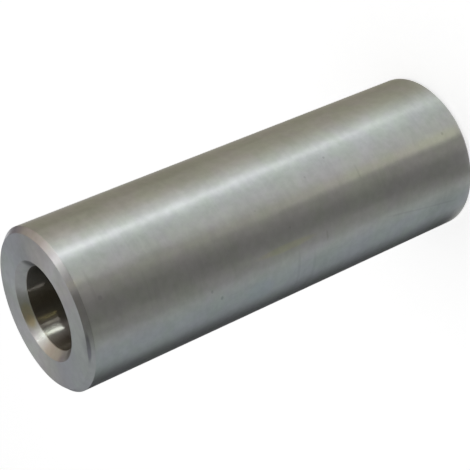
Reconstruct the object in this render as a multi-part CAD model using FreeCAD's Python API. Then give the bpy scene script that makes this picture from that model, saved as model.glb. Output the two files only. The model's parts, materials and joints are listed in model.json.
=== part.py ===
import FreeCAD
import Part

import math
import os

# Centering bushing: one thick-walled plain sleeve, turned from steel bar.
# It stands on one end face. The origin is the centre of that face and +Z runs up the bore.
# Both ends are alike, so a pin can be led in from either one. All sizes are in millimetres.

# Driving sizes
outer_diameter = 50.0
bore_diameter = 25.5
length = 143.0

# Lead-in cut round each mouth of the bore: how deep it goes, and its angle from the axis in degrees
mouth_depth = 2.5
mouth_angle = 45.0

# Chamfer turned round each end of the outside: how far along it goes, and its angle from the axis
edge_length = 1.6
edge_angle = 45.0

# Radius left on every turned corner by deburring
corner_radius = 0.2


def slant(run, angle):
    """How far a cone moves in or out over a run along the axis."""
    return run * math.tan(math.radians(angle))


def end_corners():
    """Corners of the wall's section at the lower end, as (radius, height), from the bore outwards."""
    bore = bore_diameter / 2
    outside = outer_diameter / 2
    return [
        (bore, mouth_depth),
        (bore + slant(mouth_depth, mouth_angle), 0.0),
        (outside - slant(edge_length, edge_angle), 0.0),
        (outside, edge_length),
    ]


def wall_section():
    """The wall cut through on one side of the axis, as a flat face."""
    lower = end_corners()
    upper = [(radius, length - height) for radius, height in reversed(lower)]
    corners = [FreeCAD.Vector(radius, 0, height) for radius, height in lower + upper]
    return Part.Face(Part.makePolygon(corners + corners[:1]))


def break_corners(solid):
    """Rounds every turned corner, which are the solid's circular edges."""
    turned = [edge for edge in solid.Edges if isinstance(edge.Curve, Part.Circle)]
    return solid.makeFillet(corner_radius, turned)


def turned_sleeve():
    """The section swept once round the axis, with its corners broken."""
    axis_point = FreeCAD.Vector(0, 0, 0)
    axis_direction = FreeCAD.Vector(0, 0, 1)
    sharp = wall_section().revolve(axis_point, axis_direction, 360)
    return break_corners(Part.Solid(sharp))


def main():
    os.makedirs("parts", exist_ok=True)
    sleeve = turned_sleeve()
    sleeve.exportStep("parts/sleeve.step")
    print("sleeve", sleeve.isValid(), len(sleeve.Solids), round(sleeve.Volume, 2), sleeve.BoundBox)


main()
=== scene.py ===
import json
import math

import bpy
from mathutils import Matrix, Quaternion, Vector

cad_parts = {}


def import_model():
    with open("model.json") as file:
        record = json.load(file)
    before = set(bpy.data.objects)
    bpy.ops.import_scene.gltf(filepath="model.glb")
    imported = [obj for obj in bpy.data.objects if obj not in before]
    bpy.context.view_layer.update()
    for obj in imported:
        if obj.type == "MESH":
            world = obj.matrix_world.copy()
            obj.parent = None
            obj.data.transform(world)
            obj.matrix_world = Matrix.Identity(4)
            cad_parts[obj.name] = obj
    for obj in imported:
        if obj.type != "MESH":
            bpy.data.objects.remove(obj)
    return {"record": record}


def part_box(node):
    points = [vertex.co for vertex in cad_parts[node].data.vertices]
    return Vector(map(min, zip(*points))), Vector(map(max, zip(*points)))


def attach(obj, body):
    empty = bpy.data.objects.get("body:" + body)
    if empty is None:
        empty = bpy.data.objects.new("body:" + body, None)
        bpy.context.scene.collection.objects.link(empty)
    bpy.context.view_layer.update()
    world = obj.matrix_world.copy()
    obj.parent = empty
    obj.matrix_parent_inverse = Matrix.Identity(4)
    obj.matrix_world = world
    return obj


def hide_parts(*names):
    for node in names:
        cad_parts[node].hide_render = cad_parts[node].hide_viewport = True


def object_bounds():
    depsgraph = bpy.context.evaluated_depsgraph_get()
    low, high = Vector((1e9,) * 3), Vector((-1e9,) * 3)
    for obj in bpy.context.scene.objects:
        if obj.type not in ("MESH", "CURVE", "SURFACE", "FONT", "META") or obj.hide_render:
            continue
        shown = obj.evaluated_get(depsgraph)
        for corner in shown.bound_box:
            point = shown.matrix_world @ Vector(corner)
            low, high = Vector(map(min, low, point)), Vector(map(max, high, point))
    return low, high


# Centering bushing: one turned steel sleeve, standing on its end on a white floor.
# Lengths are in metres and angles in degrees, unless a name or a comment says otherwise.
# Azimuths are counted from +X, anticlockwise seen from above.

# The sleeve's corners, as in the solid
MOUTH_DEPTH = 0.0025
EDGE_LENGTH = 0.0016
CORNER_RADIUS = 0.0002

# The mesh: segments round the axis, steps round each corner, and steps along each run that is long
SEGMENTS = 256
CORNER_STEPS = 4
LONG_RUN = 0.02
LONG_RUN_STEPS = 24

# The steel's zones, from the axis outwards: the radius where each one ends, its colour and its roughness
BORE_END = 0.01288
MOUTH_END = 0.01530
FACE_END = 0.02342
EDGE_END = 0.02494
ZONES = (
    (BORE_END, (0.365, 0.335, 0.305), 0.34),
    (MOUTH_END, (0.53, 0.52, 0.508), 0.30),
    (FACE_END, (0.49, 0.49, 0.49), 0.33),
    (EDGE_END, (0.512, 0.505, 0.512), 0.31),
    (math.inf, (0.51, 0.51, 0.50), 0.33),
)
# Half the width over which one zone turns into the next
ZONE_BLEND = 0.00004
# A bored or turned surface reflects along its section, so the highlights are stretched that way,
# which is a quarter of a turn from the tangent
ANISOTROPY = 1.0
ANISOTROPY_TURN = 0.25

# The steel's level, and how much of it lines and blotches take away at most
STEEL_LEVEL = 1.045
LINE_DARKENING = 0.13
BLOTCH_DARKENING = 0.09
# How high the lines stand in the bore, and everywhere else
BORE_LINE_HEIGHT = 0.00006
WALL_LINE_HEIGHT = 0.000003
# Turning lines run round the axis: their noise changes quickly along the section and slowly round it.
# On the end faces and the cones the section runs along the radius, which therefore counts too.
LINE_NOISE = (1.0, 3.0, 0.6)
LINES_ROUND = 25.0
LINES_ALONG = 1400.0
LINES_BY_RADIUS = -0.6
# Other noise, as scale, detail and roughness, and the two values that become 0 and 1:
# blotches, the places where lines show, and the places with oil on them
BLOTCHES = ((420.0, 3.0, 0.6), (0.3, 0.7))
LINED_PLACES = ((60.0, 2.0, 0.5), (0.35, 0.65))
OILY_PLACES = ((95.0, 4.0, 0.65), (0.35, 0.65))
# The steel drifts between these two tints
BARE_TINT = (1.004, 0.992, 1.018)
OIL_TINT = (0.966, 1.001, 0.946)

# Marks on the steel, from pits and scratches left by handling to broad soft patches, one of them painted
# shade: azimuth, distance from the axis and height of the middle, half width round the sleeve and half
# height, all lengths in millimetres, and the colour that the steel is multiplied by
MARKS_AND_PAINTED_SHADE = (
    (-68, 25, 51.5, 0.5, 0.5, (0.78, 0.78, 0.78)),
    (-76, 25, 61.0, 0.5, 0.4, (0.84, 0.84, 0.84)),
    (-85, 25, 8.5, 0.7, 0.6, (0.78, 0.78, 0.78)),
    (-96, 25, 136.3, 0.9, 0.9, (0.86, 0.85, 0.86)),
    (-84, 25, 81.5, 0.4, 0.4, (0.88, 0.88, 0.88)),
    (-103, 25, 72.5, 0.5, 0.4, (0.86, 0.86, 0.86)),
    (-123, 25, 102.3, 0.7, 0.5, (0.78, 0.78, 0.78)),
    (-131, 25, 99.0, 0.8, 0.6, (0.72, 0.74, 0.74)),
    (-86, 25, 43.3, 3.0, 0.5, (0.90, 0.90, 0.90)),
    (-87, 25, 137.5, 6.5, 0.6, (0.95, 0.94, 0.95)),
    (-137, 25, 70.8, 9.0, 0.7, (0.92, 0.92, 0.92)),
    (-139, 25, 65.0, 8.0, 0.7, (0.93, 0.93, 0.93)),
    (-119, 25, 60.0, 2.0, 0.5, (0.88, 0.88, 0.86)),
    (-115, 25, 75.0, 1.4, 13.0, (1.06, 1.05, 0.90)),
    (-140, 25, 85.0, 5.0, 6.0, (0.97, 0.99, 1.03)),
    (-126, 23.8, 142.6, 6.0, 0.55, (0.57, 0.56, 0.60)),
    (-143, 25, 9.0, 11.0, 16.0, (0.93, 0.92, 0.92)),
    # Painted shade: dims the highlight low on the wall, near the foot
    (-57, 25, 6.0, 8.0, 17.0, (0.95, 0.95, 0.94)),
)
# Painted highlights and painted shade on the end face, brighter and duller places that stand in for its
# reflections, in the same order
FACE_PAINTED_LIGHT = (
    (38, 17.5, 143, 10.0, 3.0, (1.10, 1.12, 1.12)),
    (-34, 17.5, 143, 5.5, 3.0, (1.10, 1.10, 1.08)),
    (148, 18.0, 143, 6.5, 3.0, (1.09, 1.10, 1.09)),
    (-84, 19.0, 143, 6.0, 3.0, (0.95, 0.92, 0.92)),
)
# Oil and rust stains in the mouth of the bore, then two dark patches of painted shade on it, in the same
# order
MOUTH_STAINS_AND_SHADE = (
    (88, 14, 141.8, 5.0, 2.0, (1.02, 0.97, 0.74)),
    (94, 14, 141.8, 2.4, 1.2, (1.02, 0.95, 0.84)),
    (140, 14, 141.8, 3.0, 2.0, (1.02, 0.98, 0.98)),
    # Painted shade: two dark patches on the mouth
    (-158, 14, 141.8, 6.8, 3.0, (0.34, 0.33, 0.33)),
    (-20, 14, 141.8, 7.0, 3.0, (0.34, 0.33, 0.34)),
)
# The inner share of a mark that has its full colour
MARK_CORE = 0.5
# A long faint scratch on the wall: azimuth and height of its two ends, its half width and its colour,
# with lengths in millimetres, and the share of it over which each end fades
SCRATCH = ((-124.8, 39.0), (-138.8, 5.5), 0.5, (0.87, 0.85, 0.87))
SCRATCH_FADE = 0.2

# The camera of the photograph, rolled so that the sleeve's upper end points to the lower left
CAMERA_AZIMUTH = -90.0
CAMERA_PLACE = (0.0, -0.3892, 0.2980)
CAMERA_AIM = (-0.0015, 0.0, 0.0764)
CAMERA_ROLL = -113.2
CAMERA_LENS_MM = 113.74
CAMERA_SENSOR_MM = 36.0

# Light. A level of 1 is white. The steel shows the white floor and room wherever no card stands.
WHITE = (1.0, 1.0, 1.0, 1.0)
FLOOR_HALF_SIDE = 6.0
FLOOR_COLOUR = (0.8, 0.8, 0.8, 1.0)
FLOOR_LIFT = 0.62
ROOM_LEVEL = 0.3
OVERHEAD_WATTS = 3.5
OVERHEAD_SIZE = 1.2
OVERHEAD_CLEARANCE = 1.0
# Small lamps that shine into the bore, each with the azimuth it stands at, the azimuth of the patch that it
# lights, its power and its colour
BORE_LAMPS = (
    (-32, 119.6, 3.2, (0.88, 1.0, 0.99)),
    (-43, 114, 0.8, (0.92, 1.0, 1.0)),
    (-58, 106, 0.5, (1.0, 1.0, 0.95)),
    (-74, 98, 0.25, (1.0, 0.90, 0.42)),
    (-156, 38, 0.3, (1.0, 1.0, 1.0)),
)
BORE_LAMP_ELEVATION = 18.3
BORE_LAMP_DISTANCE = 0.45
BORE_LAMP_DEPTH = 0.0101
BORE_LAMP_RADIUS = 0.003
BORE_LAMP_CONE = 2.0
BORE_LAMP_BLEND = 0.15
# Cards on a dome, the nearest first. name: azimuth from, to, softness; elevation from, to, softness; colour
DOME_CARDS = {
    "tube": ((-33.6, -31.8, 1.2), (-6, 45, 14), (5.2, 5.25, 5.2)),
    "key_strip": ((-31, -13, 4), (-4, 90, 14), (1.74, 1.75, 1.74)),
    "key_card": ((-32, 2, 22), (-6, 90, 18), (1.43, 1.40, 1.32)),
    "warm_card": ((-16, 60, 24), (15, 60, 24), (0.67, 0.58, 0.49)),
    "front_card": ((-80, -52, 16), (48, 76, 20), (0.34, 0.33, 0.30)),
    "dark_card": ((-168, -43.5, 23), (-5, 95, 16), (0.09, 0.085, 0.06)),
    "right_card": ((18, 71, 6), (-11, 74, 11), (0.18, 0.16, 0.18)),
    "back_card": ((59, 142, 10), (-8, 44, 40), (0.43, 0.45, 0.47)),
    "left_card": ((127, 210, 11), (-10, 95, 14), (0.45, 0.47, 0.49)),
}
DOME_DISTANCE = 1.5
DOME_SPACING = 0.05
# Sheets on the floor, the topmost first. name: azimuth from, to, softness, between -270 and 90; distance from
# the wall from, to, softness in octaves; colour
AT_WALL = 0.0001
NO_END = 9.0
FLOOR_SHEETS = {
    "tube_sheet": ((-30.4, -29.4, 0.8), (0.05, NO_END, 5.0), (2.1, 2.2, 2.4)),
    "front_line_sheet": ((-90, -77, 13), (AT_WALL, 0.11, 2.0), (1.06, 1.04, 0.88)),
    "side_step_sheet": ((-150, -134.5, 3), (0.03, NO_END, 3.0), (0.43, 0.43, 0.415)),
    "key_strip_sheet": ((-36, -24, 8), (0.11, NO_END, 5.0), (1.60, 1.70, 1.80)),
    "key_sheet": ((-50, -13, 44), (AT_WALL, NO_END, 1.0), (0.98, 1.08, 1.08)),
    "left_sheet": ((-210, -164, 34), (AT_WALL, NO_END, 1.0), (0.455, 0.51, 0.54)),
    "black_sheet": ((-267, -196, 3), (0.005, NO_END, 2.0), (0.02, 0.02, 0.02)),
    "front_foot_sheet": ((-110, -90, 22), (AT_WALL, 0.11, 2.0), (0.52, 0.51, 0.48)),
    "front_edge_sheet": ((-102, -74, 16), (0.14, NO_END, 2.0), (0.47, 0.46, 0.45)),
    "front_sheet": ((-158, -88, 30), (AT_WALL, NO_END, 1.0), (0.32, 0.32, 0.31)),
    "right_sheet": ((-27, 69, 14), (AT_WALL, NO_END, 1.0), (0.45, 0.43, 0.34)),
}
SHEET_REACH = 3.0
SHEET_ROWS = 20
SHEET_SPACING = 0.0002
# The widest steps in the meshes of cards and sheets, and how many columns a soft edge has at least
COLUMN_STEP = 2.0
ROW_STEP = 4.0
EDGE_COLUMNS = 4


def new_object(name, content):
    piece = bpy.data.objects.new(name, content)
    bpy.context.scene.collection.objects.link(piece)
    return piece


def polar(radius, azimuth, elevation=0.0):
    """A point by its distance from the origin and its two angles."""
    a = math.radians(azimuth)
    e = math.radians(elevation)
    return Vector((math.cos(e) * math.cos(a), math.cos(e) * math.sin(a), math.sin(e))) * radius


def round_axis(radius, azimuth, height):
    """A point by its distance from the axis, its azimuth and its height."""
    return polar(radius, azimuth) + Vector((0, 0, height))


class Nodes:
    """A small helper to build a node tree."""

    def __init__(self, tree):
        self.tree = tree
        tree.nodes.clear()

    def add(self, kind, settings=None, **inputs):
        node = self.tree.nodes.new(kind)
        for name, value in (settings or {}).items():
            setattr(node, name, value)
        for name, value in inputs.items():
            self.feed(node.inputs[name.replace("_", " ")], value)
        return node

    def feed(self, socket, value):
        if isinstance(value, bpy.types.NodeSocket):
            self.tree.links.new(value, socket)
        else:
            socket.default_value = value

    def math(self, operation, a, b=0.0, c=0.0):
        node = self.add("ShaderNodeMath", {"operation": operation})
        for socket, value in zip(node.inputs, (a, b, c)):
            self.feed(socket, value)
        return node.outputs[0]

    def step(self, value, low, high):
        """0 at low and beyond it, 1 at high and beyond it, smooth between them."""
        settings = {"interpolation_type": "SMOOTHSTEP"}
        inputs = {"Value": value, "From_Min": low, "From_Max": high}
        return self.add("ShaderNodeMapRange", settings, **inputs).outputs["Result"]

    def between(self, factor, first, second):
        """The first number where the factor is 0, the second where it is 1."""
        return self.add("ShaderNodeMix", Factor=factor, A=first, B=second).outputs["Result"]

    def colours(self, factor, first, second):
        """The first colour where the factor is 0, the second where it is 1."""
        node = self.add("ShaderNodeMix", {"data_type": "RGBA"}, Factor=factor)
        for socket, colour in ((node.inputs["A"], first), (node.inputs["B"], second)):
            self.feed(socket, (*colour, 1.0) if isinstance(colour, tuple) else colour)
        return node.outputs["Result"]

    def vectors(self, operation, a, b, output="Vector"):
        """The result of an operation on two vectors. A dot product has it in the output Value."""
        node = self.add("ShaderNodeVectorMath", {"operation": operation})
        self.feed(node.inputs[0], a)
        self.feed(node.inputs[1], b)
        return node.outputs[output]

    def length(self, vector):
        return self.add("ShaderNodeVectorMath", {"operation": "LENGTH"}, Vector=vector).outputs["Value"]

    def shaded(self, colour, level):
        """The colour times a number."""
        settings = {"operation": "SCALE"}
        return self.add("ShaderNodeVectorMath", settings, Vector=colour, Scale=level).outputs["Vector"]

    def noise(self, place, scale, detail, roughness):
        inputs = {"Vector": place, "Scale": scale, "Detail": detail, "Roughness": roughness}
        return self.add("ShaderNodeTexNoise", **inputs).outputs[0]


def new_material(name):
    """A material and the helper for its node tree."""
    material = bpy.data.materials.new(name)
    material.use_nodes = True
    return material, Nodes(material.node_tree)


def section(outer_radius, bore_radius, length):
    """The wall's section as (radius, height, normal's radial part, normal's upward part), once round."""
    mouth = bore_radius + MOUTH_DEPTH
    shoulder = outer_radius - EDGE_LENGTH
    corners = [
        (bore_radius, MOUTH_DEPTH),
        (mouth, 0.0),
        (shoulder, 0.0),
        (outer_radius, EDGE_LENGTH),
        (outer_radius, length - EDGE_LENGTH),
        (shoulder, length),
        (mouth, length),
        (bore_radius, length - MOUTH_DEPTH),
    ]
    rows = []
    for i, corner in enumerate(corners):
        here = Vector(corner)
        inward = (here - Vector(corners[i - 1])).normalized()
        outward = (Vector(corners[(i + 1) % len(corners)]) - here).normalized()
        turn = math.atan2(inward.x * outward.y - inward.y * outward.x, inward.dot(outward))
        reach = CORNER_RADIUS * math.tan(turn / 2)
        start_normal = Vector((inward.y, -inward.x))
        centre = here - inward * reach - start_normal * CORNER_RADIUS
        first = math.atan2(start_normal.y, start_normal.x)
        for step in range(CORNER_STEPS + 1):
            angle = first + turn * step / CORNER_STEPS
            normal = Vector((math.cos(angle), math.sin(angle)))
            point = centre + normal * CORNER_RADIUS
            rows.append((point.x, point.y, normal.x, normal.y))
    return rows


def with_long_runs_divided(rows):
    """Adds rows along the outside and the bore, so that no face there is long and thin."""
    divided = []
    for here, after in zip(rows, rows[1:] + rows[:1]):
        divided.append(here)
        if math.hypot(after[0] - here[0], after[1] - here[1]) < LONG_RUN:
            continue
        for step in range(1, LONG_RUN_STEPS):
            share = step / LONG_RUN_STEPS
            divided.append(tuple(a + (b - a) * share for a, b in zip(here, after)))
    return divided


def revolved(name, rows):
    """A closed mesh from a closed section, with the section's own normals."""
    points, normals, faces = [], [], []
    for segment in range(SEGMENTS):
        angle = 2 * math.pi * segment / SEGMENTS
        c, s = math.cos(angle), math.sin(angle)
        for radius, height, out, up in rows:
            points.append((radius * c, radius * s, height))
            normals.append((out * c, out * s, up))
    count = len(rows)
    for segment in range(SEGMENTS):
        this, following = segment * count, (segment + 1) % SEGMENTS * count
        for row in range(count):
            after = (row + 1) % count
            faces.append((this + row, following + row, following + after, this + after))
    mesh = bpy.data.meshes.new(name)
    mesh.from_pydata(points, [], faces)
    mesh.shade_smooth()
    mesh.normals_split_custom_set_from_vertices(normals)
    return mesh


def by_zone(nodes, radius, values, blend):
    """The value of the zone that the radius lies in."""
    value = values[0]
    for (end, _, _), following in zip(ZONES, values[1:]):
        value = blend(nodes.step(radius, end - ZONE_BLEND, end + ZONE_BLEND), value, following)
    return value


def between_radii(nodes, radius, inner, outer):
    """1 between the two distances from the axis, 0 elsewhere."""
    return nodes.math("MULTIPLY", nodes.step(radius, inner - ZONE_BLEND, inner + ZONE_BLEND),
                      nodes.step(radius, outer + ZONE_BLEND, outer - ZONE_BLEND))


def distance_from_axis(nodes, parts):
    x_squared = nodes.math("MULTIPLY", parts["X"], parts["X"])
    y_squared = nodes.math("MULTIPLY", parts["Y"], parts["Y"])
    return nodes.math("SQRT", nodes.math("ADD", x_squared, y_squared))


def turning_lines(nodes, parts, radius):
    """Noise between 0 and 1 in fine lines round the axis."""
    along = nodes.math("MULTIPLY_ADD", radius, LINES_BY_RADIUS, parts["Z"])
    squeezed = nodes.add("ShaderNodeCombineXYZ", X=nodes.math("MULTIPLY", parts["X"], LINES_ROUND),
                         Y=nodes.math("MULTIPLY", parts["Y"], LINES_ROUND),
                         Z=nodes.math("MULTIPLY", along, LINES_ALONG))
    return nodes.noise(squeezed.outputs[0], *LINE_NOISE)


def patchy(nodes, place, noise, limits):
    """Noise with its middle values stretched to run from 0 to 1."""
    return nodes.step(nodes.noise(place, *noise), *limits)


def with_patches(nodes, place, steel, patches, where):
    """The steel's colour with the marks, stains and patches of painted highlight and shade on it, soft at
    their edges, and only where the last value is 1.
    """
    for azimuth, radius, height, half_width, half_height, colour in patches:
        middle = round_axis(radius / 1000, azimuth, height / 1000)
        inverse = Vector((1 / half_width, 1 / half_width, 1 / half_height)) * 1000
        away = nodes.vectors("MULTIPLY", nodes.vectors("SUBTRACT", place, middle), inverse)
        cover = nodes.step(nodes.length(away), 1.0, MARK_CORE)
        change = nodes.colours(nodes.math("MULTIPLY", cover, where), (1.0, 1.0, 1.0), colour)
        steel = nodes.vectors("MULTIPLY", steel, change)
    return steel


def scratched(nodes, place, steel, outer_radius):
    """The steel's colour with the scratch on it."""
    *ends, half_width, colour = SCRATCH
    start, end = (round_axis(outer_radius, azimuth, height / 1000) for azimuth, height in ends)
    run = end - start
    away = nodes.vectors("SUBTRACT", place, start)
    off = nodes.length(nodes.vectors("CROSS_PRODUCT", away, run.normalized()))
    share = nodes.vectors("DOT_PRODUCT", away, run / run.length_squared, "Value")
    within = nodes.math("MULTIPLY", nodes.step(share, 0.0, SCRATCH_FADE),
                        nodes.step(share, 1.0, 1.0 - SCRATCH_FADE))
    cover = nodes.math("MULTIPLY", nodes.step(off, half_width / 1000, 0.0), within)
    return nodes.vectors("MULTIPLY", steel, nodes.colours(cover, (1.0, 1.0, 1.0), colour))


def steel_colour(nodes, place, radius, lines, outer_radius):
    """The zones' colours, darkened by lines and blotches, tinted by oil, and with the marks, stains, painted
    highlights and painted shade on them.
    """
    plain = by_zone(nodes, radius, [colour for _, colour, _ in ZONES], nodes.colours)
    oiled = nodes.colours(patchy(nodes, place, *OILY_PLACES), BARE_TINT, OIL_TINT)
    streaks = nodes.math("MULTIPLY", lines, patchy(nodes, place, *LINED_PLACES))
    darkening = nodes.math("ADD", nodes.math("MULTIPLY", streaks, LINE_DARKENING),
                           nodes.math("MULTIPLY", patchy(nodes, place, *BLOTCHES), BLOTCH_DARKENING))
    level = nodes.math("SUBTRACT", STEEL_LEVEL, darkening)
    steel = nodes.shaded(nodes.vectors("MULTIPLY", plain, oiled), level)
    # Marks, and painted shade that dims the highlight near the foot
    steel = with_patches(nodes, place, steel, MARKS_AND_PAINTED_SHADE, 1.0)
    # Painted highlights and painted shade on the end face
    steel = with_patches(nodes, place, steel, FACE_PAINTED_LIGHT, between_radii(nodes, radius, MOUTH_END, FACE_END))
    # Stains, and painted shade, in the mouth of the bore
    steel = with_patches(nodes, place, steel, MOUTH_STAINS_AND_SHADE, between_radii(nodes, radius, BORE_END, MOUTH_END))
    return scratched(nodes, place, steel, outer_radius)


def turned_steel(outer_radius):
    """One material for the whole sleeve, by zones."""
    material, nodes = new_material("turned_steel")
    place = nodes.add("ShaderNodeTexCoord").outputs["Object"]
    parts = nodes.add("ShaderNodeSeparateXYZ", Vector=place).outputs
    radius = distance_from_axis(nodes, parts)
    lines = turning_lines(nodes, parts, radius)
    in_bore = nodes.step(radius, BORE_END + ZONE_BLEND, BORE_END - ZONE_BLEND)
    line_height = nodes.between(in_bore, WALL_LINE_HEIGHT, BORE_LINE_HEIGHT)
    height = nodes.math("MULTIPLY", lines, line_height)
    surface = nodes.add(
        "ShaderNodeBsdfPrincipled",
        Metallic=1.0,
        Base_Color=steel_colour(nodes, place, radius, lines, outer_radius),
        Roughness=by_zone(nodes, radius, [roughness for _, _, roughness in ZONES], nodes.between),
        Anisotropic=ANISOTROPY,
        Anisotropic_Rotation=ANISOTROPY_TURN,
        Tangent=nodes.add("ShaderNodeTangent", {"direction_type": "RADIAL", "axis": "Z"}).outputs[0],
        Normal=nodes.add("ShaderNodeBump", Height=height, Strength=1.0, Distance=1.0).outputs[0],
    )
    nodes.add("ShaderNodeOutputMaterial", Surface=surface.outputs[0])
    return material


def sleeve_piece(frame):
    """The sleeve itself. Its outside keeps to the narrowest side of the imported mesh's box."""
    low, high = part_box("sleeve")
    mounts = {mount["name"]: mount for mount in frame["record"]["mounts"]}
    bore_radius = mounts["bore"]["dims"]["r_mm"] / 1000
    outer_radius = min(high.x, high.y, -low.x, -low.y)
    rows = with_long_runs_divided(section(outer_radius, bore_radius, high.z - low.z))
    piece = new_object("steel_sleeve", revolved("steel_sleeve", rows))
    piece.data.materials.append(turned_steel(outer_radius))
    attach(piece, "root")
    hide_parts("sleeve")
    return outer_radius, bore_radius


def glow(name, colour):
    """A surface of one even brightness, which fades out as the mesh's own cover says."""
    material, nodes = new_material(name)
    light = nodes.add("ShaderNodeEmission", Color=(*colour, 1.0), Strength=1.0)
    clear = nodes.add("ShaderNodeBsdfTransparent")
    cover = nodes.add("ShaderNodeAttribute", {"attribute_name": "cover"}).outputs["Fac"]
    faded = nodes.add("ShaderNodeMixShader", Fac=cover)
    nodes.feed(faded.inputs[1], clear.outputs[0])
    nodes.feed(faded.inputs[2], light.outputs[0])
    nodes.add("ShaderNodeOutputMaterial", Surface=faded.outputs[0])
    return material


def seen_only_by(piece, *rays):
    """Hides the piece from every kind of ray but these."""
    for ray in ("camera", "diffuse", "glossy", "transmission", "volume_scatter", "shadow"):
        setattr(piece, "visible_" + ray, ray in rays)


def inside(value, low, high, softness):
    """1 well between low and high, 0 well outside, with a smooth step of the given width on each limit."""
    share = (min(value - low, high - value) + softness / 2) / softness
    share = min(max(share, 0.0), 1.0)
    return share * share * (3.0 - 2.0 * share)


def steps(low, high, softness, step):
    """Even steps over a range and the soft parts beyond its limits."""
    start = low - softness / 2
    count = math.ceil((high - low + softness) / step)
    return [start + (high - low + softness) * i / count for i in range(count + 1)]


def columns_over(low, high, softness):
    """The azimuths of a card's columns."""
    return steps(low, high, softness, min(COLUMN_STEP, softness / EDGE_COLUMNS))


def card(name, columns, rows, place, cover, colour):
    """A soft-edged sheet that only the steel's reflections show."""
    points = [place(column, row) for row in rows for column in columns]
    covers = [cover(column, row) for row in rows for column in columns]
    across = len(columns)
    faces = [
        (j * across + i, j * across + i + 1, (j + 1) * across + i + 1, (j + 1) * across + i)
        for j in range(len(rows) - 1)
        for i in range(across - 1)
    ]
    mesh = bpy.data.meshes.new(name)
    mesh.from_pydata(points, [], faces)
    mesh.attributes.new("cover", "FLOAT", "POINT").data.foreach_set("value", covers)
    sheet = new_object(name, mesh)
    sheet.data.materials.append(glow(name, colour))
    seen_only_by(sheet, "glossy")


def dome_card(name, distance, centre, azimuths, elevations, colour):
    """A card on a dome round the sleeve."""
    rows = [min(row, 90.0) for row in steps(*elevations, ROW_STEP)]

    def place(azimuth, elevation):
        return centre + polar(distance, azimuth, elevation)

    def cover(azimuth, elevation):
        return inside(azimuth, *azimuths) * inside(elevation, *elevations)

    card(name, columns_over(*azimuths), rows, place, cover, colour)


def floor_sheet(name, height, foot_radius, azimuths, reach, colour):
    """A card on the floor, from the sleeve's foot outwards.

    Each column starts where the wall mirrors that azimuth towards the camera, so that the card's
    straight edges show as straight bands on the wall.
    """
    distances = [SHEET_REACH * 0.5 ** (i / 2) for i in range(SHEET_ROWS)] + [0.0]
    start, end, octaves = reach

    def place(azimuth, distance):
        foot = polar(foot_radius, (azimuth + CAMERA_AZIMUTH) / 2)
        return foot + round_axis(distance, azimuth, height)

    def cover(azimuth, distance):
        out = math.log2(max(distance, AT_WALL) / start)
        return inside(azimuth, *azimuths) * inside(out, 0.0, math.log2(end / start), octaves)

    card(name, columns_over(*azimuths), distances, place, cover, colour)


def cards(centre, foot_radius):
    """Places all the cards. Each one stands in front of those after it in its table."""
    for i, (name, settings) in enumerate(DOME_CARDS.items()):
        dome_card(name, DOME_DISTANCE + DOME_SPACING * i, centre, *settings)
    for i, (name, settings) in enumerate(FLOOR_SHEETS.items()):
        floor_sheet(name, SHEET_SPACING * (len(FLOOR_SHEETS) - i), foot_radius, *settings)


def background_rays(nodes):
    """1 for the rays that show the white background: the camera's, mirrored and see-through ones."""
    rays = nodes.add("ShaderNodeLightPath").outputs
    mirrored = nodes.math("MAXIMUM", rays["Is Glossy Ray"], rays["Is Transmission Ray"])
    return nodes.math("MAXIMUM", rays["Is Camera Ray"], mirrored)


def floor():
    """A pale matt floor, lifted to white for the rays that show the background."""
    side = FLOOR_HALF_SIDE
    corners = [(-side, -side, 0), (side, -side, 0), (side, side, 0), (-side, side, 0)]
    mesh = bpy.data.meshes.new("floor")
    mesh.from_pydata(corners, [], [(0, 1, 2, 3)])
    sheet = new_object("floor", mesh)
    material, nodes = new_material("floor")
    matt = nodes.add("ShaderNodeBsdfDiffuse", Color=FLOOR_COLOUR)
    lift = nodes.math("MULTIPLY", background_rays(nodes), FLOOR_LIFT)
    light = nodes.add("ShaderNodeEmission", Color=WHITE, Strength=lift)
    both = nodes.add("ShaderNodeAddShader")
    nodes.feed(both.inputs[0], matt.outputs[0])
    nodes.feed(both.inputs[1], light.outputs[0])
    nodes.add("ShaderNodeOutputMaterial", Surface=both.outputs[0])
    sheet.data.materials.append(material)


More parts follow.
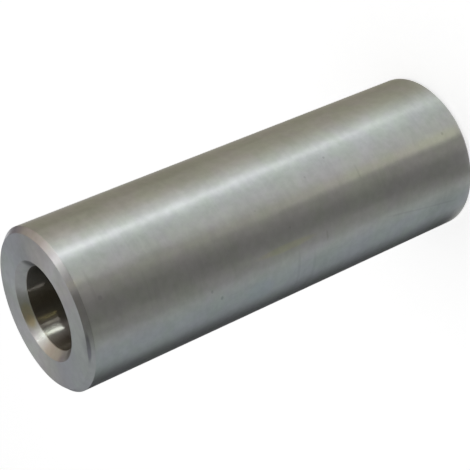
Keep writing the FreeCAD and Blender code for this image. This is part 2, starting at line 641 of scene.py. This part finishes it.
def world():
    """A pale room, white for the rays that show the background."""
    surroundings = bpy.data.worlds.new("room")
    bpy.context.scene.world = surroundings
    surroundings.use_nodes = True
    nodes = Nodes(surroundings.node_tree)
    level = nodes.math("MULTIPLY_ADD", background_rays(nodes), 1.0 - ROOM_LEVEL, ROOM_LEVEL)
    light = nodes.add("ShaderNodeBackground", Color=WHITE, Strength=level)
    nodes.add("ShaderNodeOutputWorld", Surface=light.outputs[0])


def overhead_lamp(top):
    """A soft lamp above the sleeve's top, which the steel doesn't mirror."""
    lamp = bpy.data.lights.new("overhead", "AREA")
    lamp.shape = "DISK"
    lamp.size = OVERHEAD_SIZE
    lamp.energy = OVERHEAD_WATTS
    piece = new_object("overhead", lamp)
    piece.location = (0, 0, top + OVERHEAD_CLEARANCE)
    seen_only_by(piece, "diffuse", "shadow")


def turned_towards(piece, target, roll=0.0):
    """Points a lamp or the camera at the target, then rolls it about its own view."""
    piece.rotation_mode = "QUATERNION"
    upright = (target - piece.location).to_track_quat("-Z", "Y")
    piece.rotation_quaternion = upright @ Quaternion((0, 0, 1), math.radians(roll))


def bore_lamp(number, bore_radius, top, azimuth, aim, watts, colour):
    """A narrow beam that lights a patch of the bore just below its mouth."""
    name = f"bore_lamp_{number}"
    lamp = bpy.data.lights.new(name, "SPOT")
    lamp.energy = watts
    lamp.color = colour
    lamp.spot_size = math.radians(BORE_LAMP_CONE)
    lamp.spot_blend = BORE_LAMP_BLEND
    lamp.shadow_soft_size = BORE_LAMP_RADIUS
    piece = new_object(name, lamp)
    target = round_axis(bore_radius, aim, top - BORE_LAMP_DEPTH)
    piece.location = target + polar(BORE_LAMP_DISTANCE, azimuth, BORE_LAMP_ELEVATION)
    turned_towards(piece, target)


def camera():
    lens = bpy.data.cameras.new("camera")
    lens.lens = CAMERA_LENS_MM
    lens.sensor_width = CAMERA_SENSOR_MM
    piece = new_object("camera", lens)
    piece.location = CAMERA_PLACE
    turned_towards(piece, Vector(CAMERA_AIM), CAMERA_ROLL)
    bpy.context.scene.camera = piece


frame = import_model()
cad_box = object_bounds()
camera()
outer_radius, bore_radius = sleeve_piece(frame)
floor()
cards((cad_box[0] + cad_box[1]) / 2, outer_radius)
world()
overhead_lamp(cad_box[1].z)
for number, settings in enumerate(BORE_LAMPS):
    bore_lamp(number, bore_radius, cad_box[1].z, *settings)
bpy.context.scene.view_settings.view_transform = "Standard"
